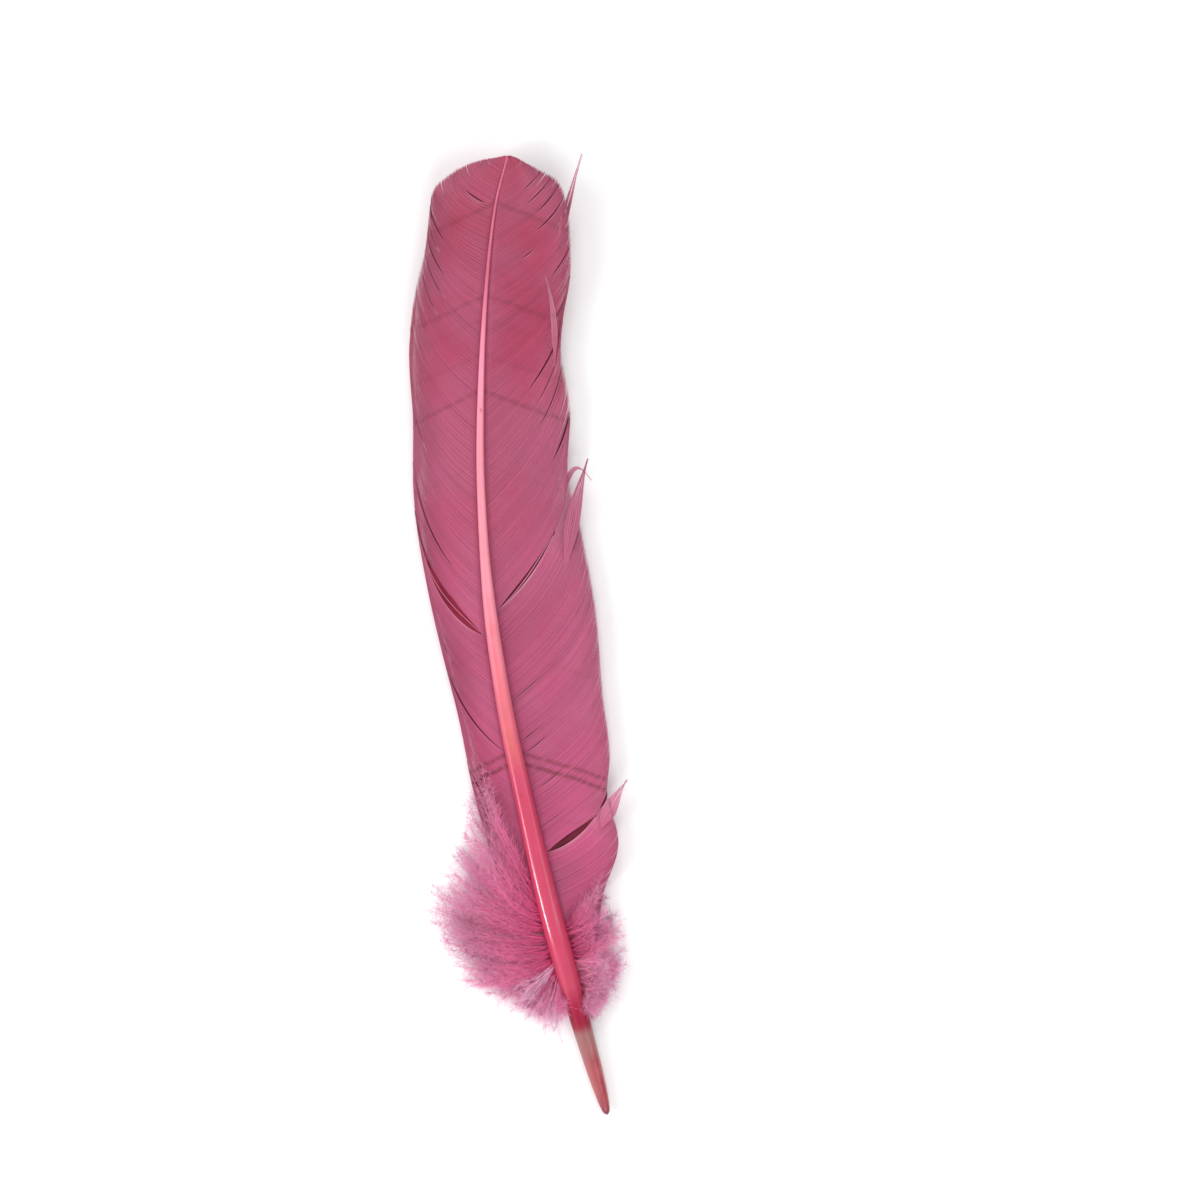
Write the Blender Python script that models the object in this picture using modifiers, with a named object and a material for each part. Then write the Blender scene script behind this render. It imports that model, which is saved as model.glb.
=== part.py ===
"""A dyed turkey wing feather, lying on its back so that its under side faces up.

One grown thing and so one solid: a tapering quill, two vanes parted here and there between their barbs,
and locks of down round the lower end of the quill. Metres, +Z up, the quill's chord along +Y.
The origin is below the middle of the feather, on the surface that it lies on.
"""

import math
import random

import bmesh
import bpy
from mathutils import Matrix, Vector

MM = 0.001

# The plan is drawn from the quill's lower end, with its tip straight ahead along +Y.
FEATHER_LENGTH = 300 * MM
PLAN_TO_ORIGIN = Vector((12.0 * MM, -150.3 * MM, 0.0))

# Distance up the quill, and how far it bows to the left of its chord there.
QUILL_BOW = (
    (0.0, 0.0),
    (35 * MM, 6.2 * MM),
    (70 * MM, 11.9 * MM),
    (100 * MM, 15.6 * MM),
    (130 * MM, 18.7 * MM),
    (165 * MM, 20.2 * MM),
    (200 * MM, 18.9 * MM),
    (230 * MM, 15.7 * MM),
    (260 * MM, 10.9 * MM),
    (285 * MM, 5.4 * MM),
    (300 * MM, 0.0),
)

# Distance up the quill, and its width there.
QUILL_WIDTHS = (
    (0.0, 2.0 * MM),
    (5 * MM, 3.6 * MM),
    (14 * MM, 5.0 * MM),
    (29 * MM, 6.1 * MM),
    (45 * MM, 6.8 * MM),
    (65 * MM, 7.0 * MM),
    (90 * MM, 6.1 * MM),
    (120 * MM, 5.2 * MM),
    (155 * MM, 4.2 * MM),
    (180 * MM, 3.0 * MM),
    (220 * MM, 2.2 * MM),
    (260 * MM, 1.2 * MM),
    (300 * MM, 0.6 * MM),
)
QUILL_STATIONS = 46
QUILL_STATIONS_CROWD = 1.15
QUILL_SIDES_SETTING = 2
QUILL_END_HEIGHT = 2.5 * MM
QUILL_RESTS_FROM = 55 * MM

# The feather curls up off the surface beyond this distance.
TIP_RISES_FROM = 170 * MM
TIP_RISE = 9 * MM

# Where a barb leaves the quill, how far to the side it ends, and how much farther up it ends.
LEFT_BARBS = (
    (59.5 * MM, 13.0 * MM, 16 * MM),
    (75 * MM, 14.9 * MM, 27 * MM),
    (95 * MM, 14.8 * MM, 33 * MM),
    (113.5 * MM, 16.8 * MM, 39 * MM),
    (135 * MM, 19.3 * MM, 42 * MM),
    (151.5 * MM, 21.0 * MM, 45 * MM),
    (175 * MM, 21.0 * MM, 47 * MM),
    (200 * MM, 22.9 * MM, 43 * MM),
    (225 * MM, 22.2 * MM, 36 * MM),
    (245 * MM, 20.3 * MM, 29 * MM),
    (264 * MM, 20.6 * MM, 23 * MM),
    (276 * MM, 18.4 * MM, 17.0 * MM),
    (286 * MM, 13.5 * MM, 11.5 * MM),
    (293 * MM, 8.5 * MM, 6.6 * MM),
    (297 * MM, 3.6 * MM, 3.2 * MM),
    (299.6 * MM, 0.5 * MM, 1.0 * MM),
)
RIGHT_BARBS = (
    (47 * MM, 12.0 * MM, 9 * MM),
    (59.5 * MM, 18.5 * MM, 11 * MM),
    (70 * MM, 26.0 * MM, 14 * MM),
    (82 * MM, 26.0 * MM, 18 * MM),
    (90 * MM, 29.6 * MM, 23 * MM),
    (105 * MM, 31.0 * MM, 27 * MM),
    (125 * MM, 32.8 * MM, 33 * MM),
    (145 * MM, 30.6 * MM, 38 * MM),
    (159 * MM, 27.4 * MM, 40 * MM),
    (180 * MM, 28.2 * MM, 40 * MM),
    (200 * MM, 24.9 * MM, 38 * MM),
    (213 * MM, 25.0 * MM, 35 * MM),
    (235 * MM, 26.3 * MM, 27 * MM),
    (256 * MM, 24.3 * MM, 21.7 * MM),
    (268 * MM, 21.0 * MM, 18 * MM),
    (276 * MM, 17.0 * MM, 15 * MM),
    (284 * MM, 11.5 * MM, 11 * MM),
    (291 * MM, 7.0 * MM, 7.6 * MM),
    (297 * MM, 2.8 * MM, 3.2 * MM),
    (299.6 * MM, 0.4 * MM, 1.0 * MM),
)
BARB_BULGE_ASIDE = 0.9
BARB_BULGE_FORWARD = 0.7
BARB_BULGE_LIMIT = 0.5

# Where the vane has parted: the barb's root, the shares of its length between which it gapes, and the gap.
LEFT_SPLITS = (
    (85 * MM, 0.35, 1.3, 0.7 * MM),
    (113.5 * MM, 0.12, 1.4, 1.0 * MM),
    (150 * MM, 0.1, 1.15, 2.8 * MM),
    (164 * MM, 0.5, 1.3, 0.8 * MM),
    (264 * MM, 0.45, 1.3, 1.0 * MM),
)
RIGHT_SPLITS = (
    (59.5 * MM, 0.2, 0.78, 1.8 * MM),
    (82 * MM, 0.08, 0.56, 2.4 * MM),
    (159 * MM, 0.06, 0.6, 1.4 * MM),
    (180 * MM, 0.7, 1.3, 1.2 * MM),
    (213 * MM, 0.4, 1.2, 1.0 * MM),
    (268 * MM, 0.5, 1.3, 1.4 * MM),
)
# A split is widest nearer the quill than halfway, by this power of the share of its length.
GAPE_LEANS = 0.7

VANE_THICKNESS = 0.5 * MM
VANE_CLEARANCE = 0.05 * MM
VANE_SITS_ON_QUILL = 0.1
VANE_TOUCHES_AT = 0.34
LEFT_EDGE_LIFT = 4.5 * MM
RIGHT_EDGE_LIFT = 6.0 * MM
EDGE_CURLS = 1.8
# Shorter barbs than this, as at the tip, lift less in proportion.
FULL_LIFT_WIDTH = 16 * MM
BARB_GROUP_WIDTH = 6.5 * MM
TIP_ROOTS = (284 * MM, 289 * MM, 293 * MM, 296.5 * MM)
STEPS_ALONG_BARB = 9
WELD_DISTANCE = 0.01 * MM

# Stray barbs past the vanes' edges: side, barb root, where it bends and ends in the plan, and the end's height.
WISPS = (
    (1, 256 * MM, (17.3 * MM, 285.0 * MM), (23.0 * MM, 297.9 * MM), 13.0 * MM),
    (1, 159 * MM, (12.5 * MM, 207.0 * MM), (15.4 * MM, 197.4 * MM), 8.5 * MM),
    (1, 150 * MM, (10.6 * MM, 196.0 * MM), (15.1 * MM, 203.4 * MM), 9.5 * MM),
    (1, 80 * MM, (11.5 * MM, 99.5 * MM), (16.9 * MM, 103.4 * MM), 9.0 * MM),
)
WISP_LEAVES_BARB_AT = 0.82
WISP_HALF_WIDTH = 1.0 * MM
WISP_HALF_THICKNESS = 0.3 * MM

# Down: where a lock leaves the quill, how far to the side it reaches, and how far forward of its root.
LEFT_DOWN = (
    (43 * MM, 4.5 * MM, -9.5 * MM),
    (44 * MM, 10.5 * MM, -12 * MM),
    (45 * MM, 16.5 * MM, -8 * MM),
    (46.2 * MM, 22 * MM, -4.5 * MM),
    (48.4 * MM, 29.3 * MM, -2.7 * MM),
    (50 * MM, 32.4 * MM, 1.4 * MM),
    (53 * MM, 36 * MM, 6.5 * MM),
    (56 * MM, 38.7 * MM, 10.3 * MM),
    (60 * MM, 33.5 * MM, 16.2 * MM),
    (64 * MM, 24 * MM, 26 * MM),
    (68 * MM, 16.5 * MM, 37 * MM),
)
RIGHT_DOWN = (
    (36 * MM, 5 * MM, -3 * MM),
    (39 * MM, 10 * MM, -2 * MM),
    (42 * MM, 15 * MM, 0 * MM),
    (46 * MM, 19 * MM, 2.5 * MM),
    (50 * MM, 20 * MM, 6.5 * MM),
    (55 * MM, 19 * MM, 10 * MM),
    (60 * MM, 17 * MM, 12 * MM),
)
# Each layer of down: height of the tips, share of the full reach, and height of the roots above the axis.
DOWN_LAYERS = (
    (1.7 * MM, 1.0, -1.2 * MM),
    (5.5 * MM, 0.92, 0.6 * MM),
    (9.5 * MM, 0.74, 2.0 * MM),
)
DOWN_VARIES = 2.2 * MM
DOWN_SEED = 7
LEFT_LOCKS_IN_LAYER = 10
RIGHT_LOCKS_IN_LAYER = 5
LOCK_HALF_WIDTH = 3.1 * MM
LOCK_HALF_THICKNESS = 1.15 * MM
LOCK_SAG = 1.2 * MM
LOCK_SWING = 0.08
LOCK_SWING_VARIES = (0.3, 1.5)
LOCK_FULLNESS_AT_ROOT = 0.45
LOCK_FULLEST_AT = 0.8
LOWEST_DOWN = 0.15 * MM
LOCK_SEGMENTS = 6
LOCK_RINGS = 6
LOCK_LOOKS_AHEAD = 0.05

DYED_ROSE = (0.47, 0.11, 0.19, 1.0)


def clear_scene():
    for thing in list(bpy.data.objects):
        bpy.data.objects.remove(thing)


def new_collection(name):
    made = bpy.data.collections.new(name)
    bpy.context.scene.collection.children.link(made)
    return made


def smooth_value(rows, column, at):
    """A column of a table at a distance between its rows, as a cubic through them."""
    if at <= rows[0][0]:
        return rows[0][column]
    if at >= rows[-1][0]:
        return rows[-1][column]
    here = max(i for i, row in enumerate(rows) if row[0] <= at)

    def slope(i):
        before, after = max(i - 1, 0), min(i + 1, len(rows) - 1)
        return (rows[after][column] - rows[before][column]) / (rows[after][0] - rows[before][0])

    span = rows[here + 1][0] - rows[here][0]
    t = (at - rows[here][0]) / span
    start, end = rows[here][column], rows[here + 1][column]
    return (
        start * (2 * t**3 - 3 * t**2 + 1)
        + end * (3 * t**2 - 2 * t**3)
        + slope(here) * span * (t**3 - 2 * t**2 + t)
        + slope(here + 1) * span * (t**3 - t**2)
    )


def quill_aside(y):
    """How far the quill's bow carries it to the side of its chord, which is to the left."""
    return -smooth_value(QUILL_BOW, 1, y)


def tip_rise(y):
    over = max(0.0, (y - TIP_RISES_FROM) / (FEATHER_LENGTH - TIP_RISES_FROM))
    return TIP_RISE * over**2


def quill_height(y):
    """The axis lies its own radius above the surface, and runs out level towards the narrow lower end."""
    resting = smooth_value(QUILL_WIDTHS, 1, max(y, QUILL_RESTS_FROM)) / 2
    toward_end = max(0.0, 1 - y / QUILL_RESTS_FROM)
    return resting + (QUILL_END_HEIGHT - resting) * toward_end**2 + tip_rise(y)


def quill_point(y):
    return Vector((quill_aside(y), y, quill_height(y)))


def barb_point(side, root, along, nudge=0.0):
    """A point on the vane: a share of the way along the barb that leaves the quill at root, on side -1 or 1."""
    barbs = LEFT_BARBS if side < 0 else RIGHT_BARBS
    width = smooth_value(barbs, 1, root)
    reach = smooth_value(barbs, 2, root)
    bulge_aside = BARB_BULGE_ASIDE * width
    bulge_forward = min(BARB_BULGE_FORWARD * width, BARB_BULGE_LIMIT * reach)
    swell, finish = 2 * along * (1 - along), along**2
    aside = swell * bulge_aside + finish * width
    forward = swell * bulge_forward + finish * reach
    # A nudge parts the vane square to the barb, whose direction is the derivative of the two lines above.
    turn = 2 - 4 * along
    heading = Vector((turn * bulge_aside + 2 * along * width, turn * bulge_forward + 2 * along * reach)).normalized()
    aside -= nudge * heading.y
    forward += nudge * heading.x
    y = root + forward
    return Vector((quill_aside(y) + side * aside, y, vane_height(side, root, along, y)))


def vane_height(side, root, along, y):
    """Barbs dip from the quill to the surface, then curl up towards the edge of the vane."""
    lowest = VANE_CLEARANCE + VANE_THICKNESS / 2
    radius = smooth_value(QUILL_WIDTHS, 1, root) / 2
    at_quill = max(lowest, quill_height(root) - tip_rise(root) - VANE_SITS_ON_QUILL * radius)
    dip = max(0.0, 1 - along / VANE_TOUCHES_AT)
    curl = max(0.0, (along - VANE_TOUCHES_AT) / (1 - VANE_TOUCHES_AT))
    width = smooth_value(LEFT_BARBS if side < 0 else RIGHT_BARBS, 1, root)
    lift = (LEFT_EDGE_LIFT if side < 0 else RIGHT_EDGE_LIFT) * min(1.0, width / FULL_LIFT_WIDTH)
    return lowest + (at_quill - lowest) * dip**2 + lift * curl**EDGE_CURLS + tip_rise(y)


def gape(split, along):
    """Half the width of a split at a share of the barb's length."""
    if split is None:
        return 0.0
    _, start, end, gap = split
    if not start < along < end:
        return 0.0
    return 0.5 * gap * math.sin(math.pi * ((along - start) / (end - start)) ** GAPE_LEANS)


def barb_stations():
    """Roots at which the vane's groups of barbs meet: every split, and plain ones between them."""
    first, last = RIGHT_BARBS[0][0], RIGHT_BARBS[-1][0]
    stations = sorted({first, last, LEFT_BARBS[0][0], *TIP_ROOTS} | {s[0] for s in LEFT_SPLITS + RIGHT_SPLITS})
    filled = [stations[0]]
    for station in stations[1:]:
        room = station - filled[-1]
        parts = max(1, round(room / BARB_GROUP_WIDTH))
        start = filled[-1]
        filled += [start + room * (i + 1) / parts for i in range(parts)]
    return filled


def add_barb_group(mesh, side, lower, upper):
    """A strip of vane between two roots, from the middle of the quill out to the edge."""
    splits = {s[0]: s for s in (LEFT_SPLITS if side < 0 else RIGHT_SPLITS)}
    made = bmesh.ops.create_grid(mesh, x_segments=1, y_segments=STEPS_ALONG_BARB, size=0.5)
    for vertex in made["verts"]:
        along = round((vertex.co.y + 0.5) * STEPS_ALONG_BARB) / STEPS_ALONG_BARB
        at_lower = vertex.co.x < 0
        root = lower if at_lower else upper
        parted = gape(splits.get(root), along)
        vertex.co = barb_point(side, root, along, parted if at_lower else -parted)


def build_vane():
    """Both vanes as one open sheet, welded wherever its barbs hold together, then given its thickness."""
    mesh = bmesh.new()
    stations = barb_stations()
    for lower, upper in zip(stations, stations[1:]):
        for side, barbs in ((-1, LEFT_BARBS), (1, RIGHT_BARBS)):
            if lower >= barbs[0][0]:
                add_barb_group(mesh, side, lower, upper)
    bmesh.ops.remove_doubles(mesh, verts=mesh.verts, dist=WELD_DISTANCE)
    bmesh.ops.recalc_face_normals(mesh, faces=mesh.faces)
    data = bpy.data.meshes.new("vane")
    mesh.to_mesh(data)
    mesh.free()
    vane = bpy.data.objects.new("vane", data)
    shell = vane.modifiers.new("thickness", "SOLIDIFY")
    shell.thickness = VANE_THICKNESS
    shell.offset = 0.0
    return vane


def build_quill():
    """The calamus and the rachis in one tapering curve, made a mesh so that the vane and down can join it."""
    curve = bpy.data.curves.new("quill", "CURVE")
    curve.dimensions = "3D"
    curve.bevel_depth = 1.0
    curve.bevel_resolution = QUILL_SIDES_SETTING
    curve.use_fill_caps = True
    line = curve.splines.new("POLY")
    line.points.add(QUILL_STATIONS - 1)
    for i, point in enumerate(line.points):
        y = FEATHER_LENGTH * (i / (QUILL_STATIONS - 1)) ** QUILL_STATIONS_CROWD
        point.co = (*quill_point(y), 1.0)
        point.radius = smooth_value(QUILL_WIDTHS, 1, y) / 2
    drawn = bpy.data.objects.new("quill_curve", curve)
    bpy.context.scene.collection.objects.link(drawn)
    bpy.context.view_layer.update()
    data = bpy.data.meshes.new_from_object(drawn.evaluated_get(bpy.context.evaluated_depsgraph_get()))
    mesh = bmesh.new()
    mesh.from_mesh(data)
    bmesh.ops.remove_doubles(mesh, verts=mesh.verts, dist=WELD_DISTANCE)
    mesh.to_mesh(data)
    mesh.free()
    quill = bpy.data.objects.new("feather", data)
    quill.matrix_world = drawn.matrix_world
    bpy.data.objects.remove(drawn)
    return quill


def draw_out(name, path, half_width, half_thickness):
    """A ball drawn out along a path, flat, fullest near its root and narrow at both ends, as its own piece."""
    mesh = bmesh.new()
    made = bmesh.ops.create_uvsphere(mesh, u_segments=LOCK_SEGMENTS, v_segments=LOCK_RINGS, radius=1.0)
    for vertex in made["verts"]:
        along = (vertex.co.z + 1) / 2
        here = path(along)
        heading = (path(along + LOCK_LOOKS_AHEAD) - here).normalized()
        across = heading.cross(Vector((0, 0, 1))).normalized()
        up = across.cross(heading)
        fullest = math.sin(math.pi * along**LOCK_FULLEST_AT)
        fullness = LOCK_FULLNESS_AT_ROOT + (1 - LOCK_FULLNESS_AT_ROOT) * fullest
        spot = here + vertex.co.x * half_width * fullness * across + vertex.co.y * half_thickness * up
        spot.z = max(spot.z, LOWEST_DOWN)
        vertex.co = spot
    data = bpy.data.meshes.new(name)
    mesh.to_mesh(data)
    mesh.free()
    return bpy.data.objects.new(name, data)


def build_lock(name, side, rows, root, layer, chance):
    """A lock of down swings out from the side of the quill and droops to its tip."""
    tip_height, share, root_height = layer
    reach = smooth_value(rows, 1, root) * share
    start = quill_point(root) + Vector((0, 0, root_height))
    end_y = root + smooth_value(rows, 2, root) * share + chance.uniform(-DOWN_VARIES, DOWN_VARIES)
    reach -= chance.uniform(0, DOWN_VARIES)
    tip_height += chance.uniform(0, DOWN_VARIES / 2)
    end = Vector((quill_aside(root) + side * reach, end_y, tip_height))
    swing = LOCK_SWING * chance.uniform(*LOCK_SWING_VARIES)

    def path(along):
        point = start.lerp(end, along)
        point.z += LOCK_SAG * math.sin(math.pi * along)
        point.y -= swing * reach * math.sin(math.pi * along)
        return point

    return draw_out(name, path, LOCK_HALF_WIDTH, LOCK_HALF_THICKNESS)


def build_locks(side, rows, count):
    """Every lock of down on one side of the quill, layer on layer."""
    chance = random.Random(DOWN_SEED + side)
    word = "left" if side < 0 else "right"
    first, last = rows[0][0], rows[-1][0]
    locks = []
    for number, layer in enumerate(DOWN_LAYERS):
        for i in range(count):
            stagger = (i + number / len(DOWN_LAYERS)) / (count - 1 / len(DOWN_LAYERS))
            root = first + (last - first) * stagger
            locks.append(build_lock(f"{word}_lock_{number}_{i}", side, rows, root, layer, chance))
    return locks


def build_wisp(number, side, root, bend, tip, tip_height):
    """A stray barb carries on past the edge of the vane, round a bend."""
    start = barb_point(side, root, WISP_LEAVES_BARB_AT)
    middle = Vector((*bend, (start.z + tip_height) / 2))
    end = Vector((*tip, tip_height))

    def path(along):
        return start.lerp(middle, along).lerp(middle.lerp(end, along), along)

    return draw_out(f"wisp_{number}", path, WISP_HALF_WIDTH, WISP_HALF_THICKNESS)


def dyed_feather_material():
    material = bpy.data.materials.new("dyed_feather")
    material.use_nodes = True
    shader = material.node_tree.nodes["Principled BSDF"]
    shader.inputs["Base Color"].default_value = DYED_ROSE
    shader.inputs["Roughness"].default_value = 0.7
    shader.inputs["Metallic"].default_value = 0.0
    return material


def main():
    clear_scene()
    parts = new_collection("turkey_wing_feather")
    joined = new_collection("joined_to_quill")

    feather = build_quill()
    parts.objects.link(feather)
    grown = [build_vane()]
    grown += build_locks(-1, LEFT_DOWN, LEFT_LOCKS_IN_LAYER)
    grown += build_locks(1, RIGHT_DOWN, RIGHT_LOCKS_IN_LAYER)
    grown += [build_wisp(number, *row) for number, row in enumerate(WISPS)]
    for piece in grown:
        joined.objects.link(piece)
        piece.hide_render = True
        piece.display_type = "WIRE"
    for piece in [feather, *grown]:
        piece.data.transform(Matrix.Translation(PLAN_TO_ORIGIN))

    join = feather.modifiers.new("grown_together", "BOOLEAN")
    join.operation = "UNION"
    join.operand_type = "COLLECTION"
    join.collection = joined
    feather.data.shade_smooth()
    feather.data.set_sharp_from_angle(angle=math.radians(40))
    feather.data.materials.clear()
    feather.data.materials.append(dyed_feather_material())


main()
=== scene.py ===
import math

import bpy
import numpy as np
from mathutils import Matrix, Vector


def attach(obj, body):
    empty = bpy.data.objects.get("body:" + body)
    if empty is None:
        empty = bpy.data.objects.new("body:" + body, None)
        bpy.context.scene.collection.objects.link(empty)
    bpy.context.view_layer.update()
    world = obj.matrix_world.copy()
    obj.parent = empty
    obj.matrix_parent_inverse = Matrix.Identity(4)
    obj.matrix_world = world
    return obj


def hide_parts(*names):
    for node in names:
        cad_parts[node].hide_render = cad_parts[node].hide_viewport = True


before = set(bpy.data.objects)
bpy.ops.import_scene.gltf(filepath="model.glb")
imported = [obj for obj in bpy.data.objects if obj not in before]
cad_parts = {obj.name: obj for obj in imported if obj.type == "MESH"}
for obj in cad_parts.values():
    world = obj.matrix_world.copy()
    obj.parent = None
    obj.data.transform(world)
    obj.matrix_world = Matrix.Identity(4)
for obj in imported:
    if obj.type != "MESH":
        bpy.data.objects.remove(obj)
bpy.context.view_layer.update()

mm = 0.001
scene = bpy.context.scene
scene.view_settings.view_transform = "Standard"
print("frame loaded")

# The plan of the feather, in mm: the quill's lower end is at 0, 0 and its tip straight ahead at 0, length.
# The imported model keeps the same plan, shifted so that its box is centred.
feather = {
    "length": 300.0,
    "planShift": (12.0, -150.3),
    "tipRisesFrom": 170.0,
    "tipRise": 9.0,
    "seed": 11,
}

# Distance up the quill, how far it bows to the left of its chord.
quillBow = (
    (0, 0), (35, 6.2), (70, 11.9), (100, 15.6), (130, 18.7), (165, 20.2), (200, 18.9), (230, 15.7),
    (260, 10.9), (285, 5.4), (300, 0),
)

# Distance up the quill, width.
quillWidths = (
    (0, 2.0), (5, 3.6), (14, 5.0), (29, 6.1), (45, 6.8), (65, 7.0), (90, 6.1),
    (120, 5.2), (155, 4.2), (180, 3.0), (220, 2.2), (260, 1.2), (300, 0.6),
)

# Barb root, how far aside the barb ends, how much farther up it ends. -1 is the left vane, 1 the right one.
barbRows = {
    -1: (
        (59.5, 13.0, 16), (75, 14.9, 27), (95, 14.8, 33), (113.5, 16.8, 39), (135, 19.3, 42),
        (151.5, 21.0, 45), (175, 21.0, 47), (200, 22.9, 43), (225, 22.2, 36), (245, 20.3, 29),
        (264, 20.7, 23.6), (270, 21.0, 20.6), (276, 20.0, 17.3), (286, 14.2, 11.6), (293, 8.5, 6.4),
        (297, 3.6, 2.8), (299.6, 0.5, 0.6),
    ),
    1: (
        (47, 12.0, 9), (59.5, 18.5, 11), (70, 26.0, 14), (82, 26.0, 18), (90, 29.6, 23), (105, 31.0, 27),
        (125, 32.8, 33), (145, 30.6, 38), (159, 27.4, 40), (180, 28.2, 40), (200, 24.9, 38), (213, 25.0, 35),
        (235, 26.3, 27), (256, 24.3, 21.7), (268, 21.4, 18.2), (276, 17.8, 14.8), (284, 12.0, 10.2),
        (291, 7.2, 5.8), (297, 3.2, 2.0), (299.6, 0.4, 0.6),
    ),
}

vane = {
    "pitch": 0.43,              # from one barb to the next, along the quill
    "pitchScatter": 0.06,
    "steps": 26,
    "stepPower": 0.9,
    "startsUnderQuill": 0.28,   # as a share of the quill's width
    "latestStart": 0.5,
    "lengthScatter": 0.006,
    "raggedScatter": 0.02,
    "wander": 0.10,
    "bulgeAside": 0.9,
    "bulgeForward": 0.7,
    "bulgeLimit": 0.5,
    "height": 0.3,              # the sheet's middle above the surface, where it dips lowest
    "sitsOnQuill": 0.1,
    "touchesAt": 0.34,
    "edgeLift": {-1: 4.5, 1: 6.0},
    "curlPower": 1.8,
    "fullLiftWidth": 16.0,      # shorter barbs than this lift less, in proportion
    # How strong the painted sheen is towards each vane's edge, strongest on the left.
    "edgeSheenStrength": {-1: 1.15, 1: 0.25},
    "edgeShade": {-1: 0.0, 1: 1.2},
    "overlap": 0.60,            # half a barb's width, as a share of the room that it has
    "ridge": 0.11,
    "keel": 0.10,
    "shingle": 0.05,
    "thinnest": 0.07,
    "widest": 0.60,
    "lowest": 0.05,
    "swells": ((0.30, 8.5, 2.0), (0.22, 3.7, -3.0)),  # height, run up the feather, lean along the barb
    "bunchLift": 0.12,
    "raggedLift": 0.5,
    "splitDecay": 7.0,
    "splitStep": 0.30,
    "stepDecay": 3.0,
    "gapeLeans": 0.7,           # a split is widest nearer the quill than halfway
    "highlightDecay": 0.5,
    "flapGap": 1.2,             # past a split wider than this the lower barbs lie open, with a painted highlight
    "flapDecay": 4.0,
    "flapHighlight": 0.45,
    "barSlope": {-1: 0.38, 1: 0.45},
}

bunch = {
    "width": (1.6, 6.0),
    "pull": 0.05,
    "raggedPull": (0.4, 1.3),
}

# Where the vane has parted: barb root, the shares of its length where it gapes, the gap, the step up across
# it.
splits = {
    -1: (
        (71, 0.35, 1.2, 0.30, 0.2), (85, 0.35, 1.3, 0.45, 0.3), (113.5, 0.08, 1.4, 0.55, 0.9),
        (126, 0.55, 1.3, 0.25, 0.3), (150, 0.10, 0.76, 2.9, -0.6), (150.3, 0.64, 1.3, 0.5, -0.3),
        (164, 0.3, 1.1, 0.40, 1.0),
        (190, 0.55, 1.1, 0.20, 0.3), (238, 0.5, 1.02, 0.20, 0.3), (246, 0.40, 1.0, 0.22, 0.5),
        (253, 0.45, 1.0, 0.35, 0.7), (258, 0.55, 1.0, 0.22, 0.4), (264, 0.50, 1.0, 0.40, 0.7),
        (284.5, 0.12, 0.55, 0.70, 0.2),
    ),
    1: (
        (59.5, 0.20, 0.78, 1.6, 0.4), (82, 0.08, 0.62, 2.4, 0.6), (82.4, 0.70, 1.3, 0.9, 0.6),
        (90, 0.02, 0.35, 0.22, 0.1), (101, 0.12, 0.3, 0.32, 0.1), (113, 0.06, 0.26, 0.42, 0.2),
        (117, 0.05, 0.22, 0.30, 0.1), (130, 0.04, 0.3, 0.25, 0.1), (158, 0.06, 0.62, 1.5, 0.5),
        (180, 0.62, 1.1, 0.6, 0.7), (196, 0.5, 1.1, 0.30, 0.5),
        (204, 0.45, 1.1, 0.25, 0.4), (213, 0.4, 1.05, 0.5, 0.8), (228, 0.6, 1.1, 0.35, 0.5),
        (247, 0.6, 1.1, 0.35, 0.5), (262, 0.3, 0.42, 0.45, 0.2), (268, 0.45, 1.0, 0.40, 0.7),
        (274, 0.5, 0.98, 0.34, 0.9), (279, 0.42, 0.98, 0.30, 0.9), (284, 0.45, 0.98, 0.30, 0.7),
    ),
}

# Barbs that lie loose in a split: side, root, from share to share, where they cross the gap from and to.
looseBarbs = ((-1, 150, 0.12, 0.72, 0.9, -1.0), (1, 158, 0.08, 0.58, -0.35, 0.45))

# Stretches of edge where the bunches of barbs draw together and leave notches: from root, to root, how much.
raggedEdges = {
    -1: ((59.5, 78, 0.25),),
    1: ((47, 66, 0.3), (178, 188, 0.15), (208, 216, 0.15), (256, 284, 0.07)),
}

# Growth bars, as distances up the quill, and how strongly each one shows.
barHalf = 0.35
growthBars = (
    (84, 0.5), (97, 0.55), (112.5, 0.95), (116, 0.8), (131, 0.3), (149, 0.25), (168, 0.3), (187, 0.3),
    (206, 0.4), (228.5, 0.55), (240.5, 0.8), (251, 0.4), (258, 1.0), (277, 0.8), (286, 0.6),
)


def smoothAt(rows, column, at):
    # A column of a table at any places between its rows: a cubic through the rows, for a whole array at once.
    rows = np.asarray(rows, float)
    place, value = rows[:, 0], rows[:, column]
    slope = np.empty(len(place))
    slope[1:-1] = (value[2:] - value[:-2]) / (place[2:] - place[:-2])
    slope[0] = (value[1] - value[0]) / (place[1] - place[0])
    slope[-1] = (value[-1] - value[-2]) / (place[-1] - place[-2])
    at = np.clip(np.asarray(at, float), place[0], place[-1])
    here = np.clip(np.searchsorted(place, at, side="right") - 1, 0, len(place) - 2)
    span = place[here + 1] - place[here]
    t = (at - place[here]) / span
    return (
        value[here] * (2 * t**3 - 3 * t**2 + 1)
        + value[here + 1] * (3 * t**2 - 2 * t**3)
        + slope[here] * span * (t**3 - 2 * t**2 + t)
        + slope[here + 1] * span * (t**3 - t**2)
    )


def ramp(value, start, end):
    # 0 before start, 1 past end, and a smooth step between them.
    t = np.clip((value - start) / (end - start), 0, 1)
    return t * t * (3 - 2 * t)


def quillAside(y):
    return -smoothAt(quillBow, 1, y)


def tipRise(y):
    # Level up to a point, then a parabola.
    over = (y - feather["tipRisesFrom"]) / (feather["length"] - feather["tipRisesFrom"])
    return feather["tipRise"] * np.clip(over, 0, None) ** 2


quillEndHeight = 2.5
quillRestsFrom = 55.0


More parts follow.
